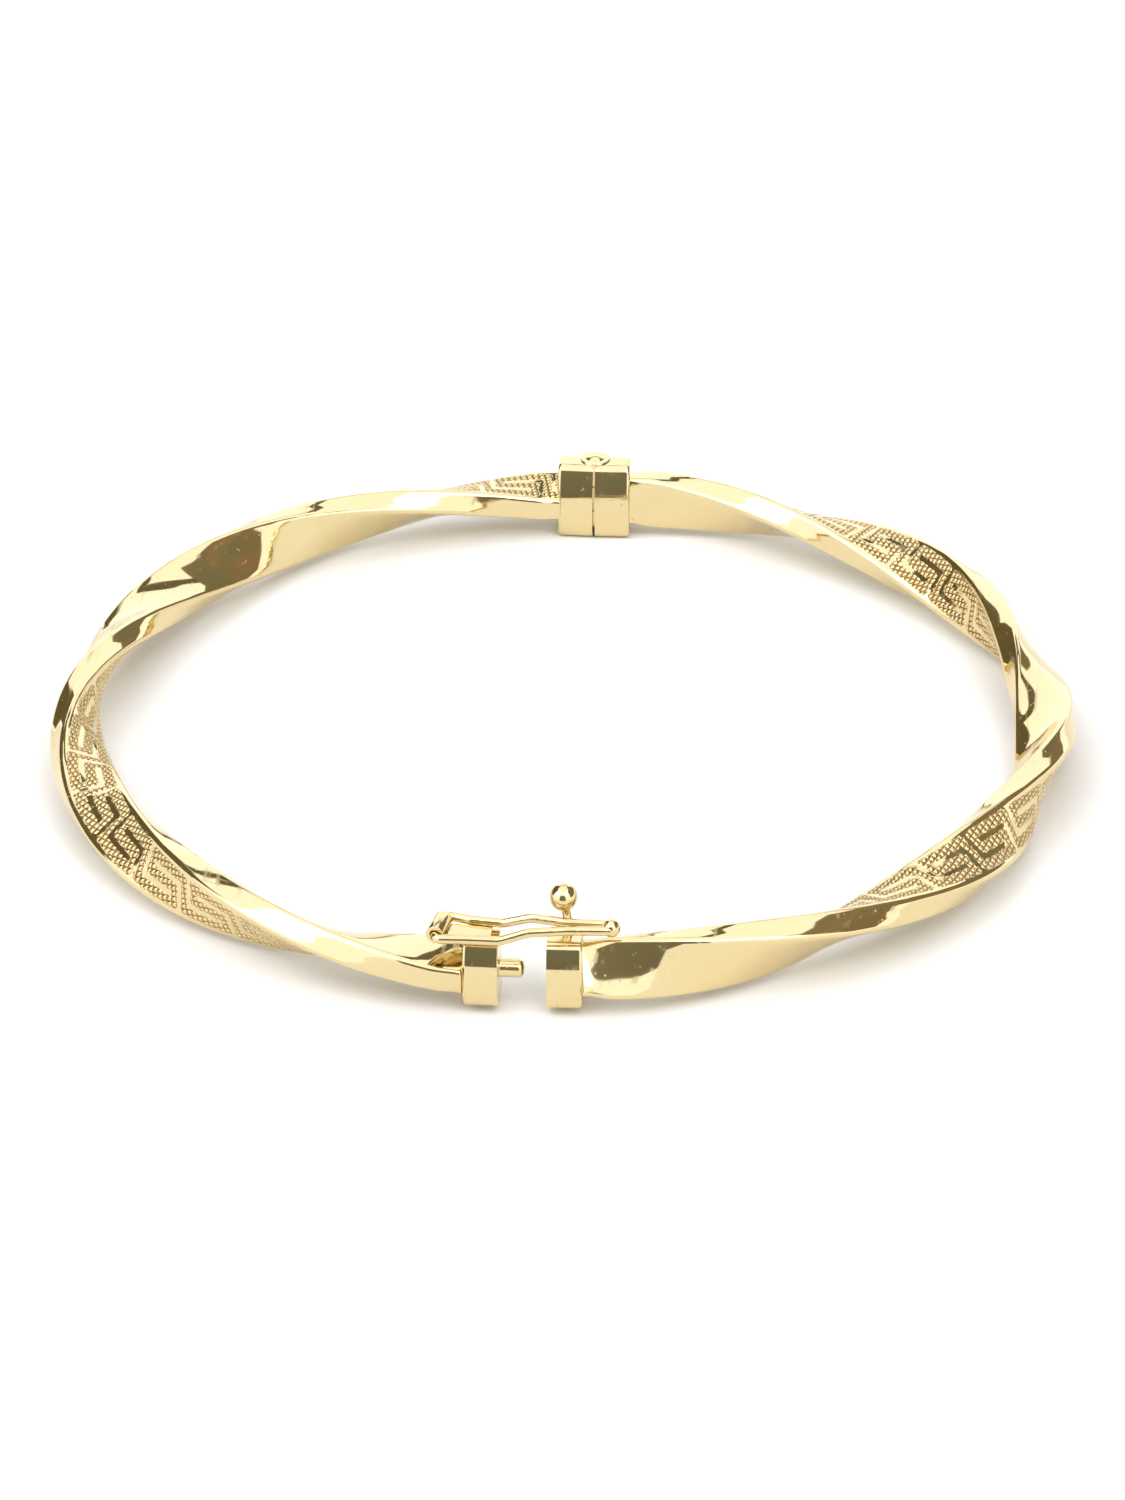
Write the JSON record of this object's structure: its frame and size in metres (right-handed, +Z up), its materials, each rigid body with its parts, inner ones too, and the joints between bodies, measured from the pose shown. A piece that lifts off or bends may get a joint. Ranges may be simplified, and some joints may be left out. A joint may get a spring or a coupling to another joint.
{
  "type": "hinged bangle bracelet",
  "caption": "Hinged bangle of two hollow twisted flat bands with a key pattern on one face, a knuckle hinge, a peg clasp and a wire safety catch over a ball stud.",
  "frame": {"origin": "centre of the ring, on the plane it rests on", "axes": "+Z up out of the ring's plane, +Y from the clasp to the hinge, +X towards the half that swings"},
  "size_m": [0.0689, 0.068, 0.008],
  "materials": {
    "band_gold": "polished, with an engraved key pattern on one wide face",
    "cast_gold": "polished"
  },
  "bodies": {
    "left_half": {"left_band": "band_gold", "left_hinge_cap": "cast_gold", "upper_knuckle": "cast_gold", "lower_knuckle": "cast_gold", "hinge_pin": "cast_gold", "left_clasp_cap": "cast_gold", "clasp_peg": "cast_gold", "catch_tube": "cast_gold", "catch_plate": "cast_gold"},
    "right_half": {"right_band": "band_gold", "right_hinge_cap": "cast_gold", "middle_knuckle": "cast_gold", "right_clasp_cap": "cast_gold", "peg_socket": "cast_gold", "stud_post": "cast_gold", "stud_ball": "cast_gold"},
    "safety_catch": {"catch_wire": "cast_gold", "catch_bead": "cast_gold"}
  },
  "joints": [
    {"name": "main_hinge", "type": "hinge", "parent": "left_half", "child": "right_half", "pos_m": [0, 0.03262, 0.00275], "axis": [0, 0, 1], "range_deg": [-2.6, 55]},
    {"name": "catch_hinge", "type": "hinge", "parent": "left_half", "child": "safety_catch", "pos_m": [-0.0038, -0.0319, 0.00545], "axis": [0.1564, 0.9877, 0], "range_deg": [-140, 0]}
  ]
}
